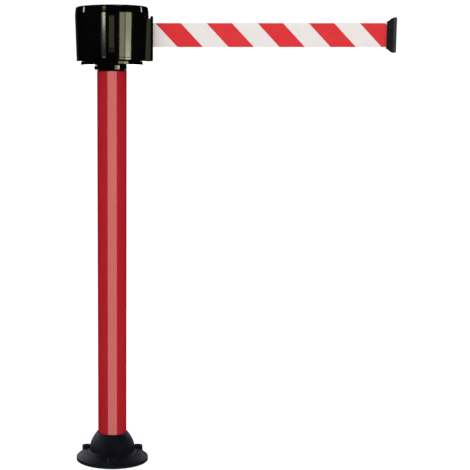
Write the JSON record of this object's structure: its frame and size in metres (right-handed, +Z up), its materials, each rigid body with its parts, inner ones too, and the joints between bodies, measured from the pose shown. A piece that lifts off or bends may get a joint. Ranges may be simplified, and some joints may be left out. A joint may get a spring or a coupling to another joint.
{
  "type": "retractable belt barrier post",
  "caption": "Floor-fixed post with a domed base, a round cassette head and a retractable striped belt that ends in a flared clip.",
  "frame": {"origin": "middle of the base's underside, on the floor", "axes": "+Z up along the tube, +X along the belt as it leaves the head, +Y away from the viewer who has the belt on the right"},
  "size_m": [0.6873, 0.161, 0.994],
  "materials": {
    "tube_paint": "glossy red powder coat on a steel tube",
    "head_plastic": "polished black plastic",
    "base_plastic": "fine-grained black plastic",
    "dark_plastic": "satin dark grey plastic",
    "inner_plastic": "natural moulded plastic",
    "belt_webbing": "woven polyester, red and white slanted stripes",
    "zinc_steel": "zinc plated",
    "brass": "turned brass"
  },
  "bodies": {
    "post": {"base_casting": "base_plastic", "rod_insert": "brass", "tube_plug": "inner_plastic", "tie_rod": "zinc_steel", "post_tube": "tube_paint", "rod_washer": "zinc_steel", "rod_nut": "zinc_steel", "head_spigot": "head_plastic", "neck_screw": "zinc_steel", "cassette_base": "head_plastic", "case_screw_1": "zinc_steel", "case_screw_2": "zinc_steel", "case_screw_3": "zinc_steel", "case_screw_4": "zinc_steel", "cassette_shell": "head_plastic", "cassette_cap": "head_plastic", "receiver_front": "dark_plastic", "receiver_left": "dark_plastic", "receiver_rear": "dark_plastic", "outlet_block": "head_plastic", "outlet_plate": "head_plastic", "outlet_screw_front": "zinc_steel", "outlet_screw_rear": "zinc_steel", "belt_nozzle": "head_plastic", "spindle": "zinc_steel", "spindle_retainer": "zinc_steel", "spring_arbor": "zinc_steel", "power_spring": "zinc_steel"},
    "drum": {"drum_hub": "inner_plastic", "drum_top_flange": "inner_plastic", "spring_barrel": "inner_plastic", "barrel_cover": "inner_plastic", "drum_bush_lower": "brass", "drum_bush_upper": "brass", "belt_roll": "belt_webbing"},
    "belt_end": {"belt_run": "belt_webbing", "clip_front": "dark_plastic", "clip_rear": "dark_plastic", "clip_pin": "zinc_steel", "clip_screw_upper": "zinc_steel", "clip_screw_lower": "zinc_steel"}
  },
  "joints": [
    {"name": "belt_pull", "type": "slide", "parent": "post", "child": "belt_end", "axis": [1, 0, 0], "range_m": [-0.499, 2.5], "deforming": ["belt_run"]},
    {"name": "drum_spin", "type": "hinge", "parent": "post", "child": "drum", "pos_m": [0, 0.02821, 0.936], "axis": [0, 0, 1], "range_deg": [-1025, 5100]}
  ],
  "couplings": [
    {"joint": "drum_spin", "follows": "belt_pull", "rad_per_m": 35.45}
  ]
}
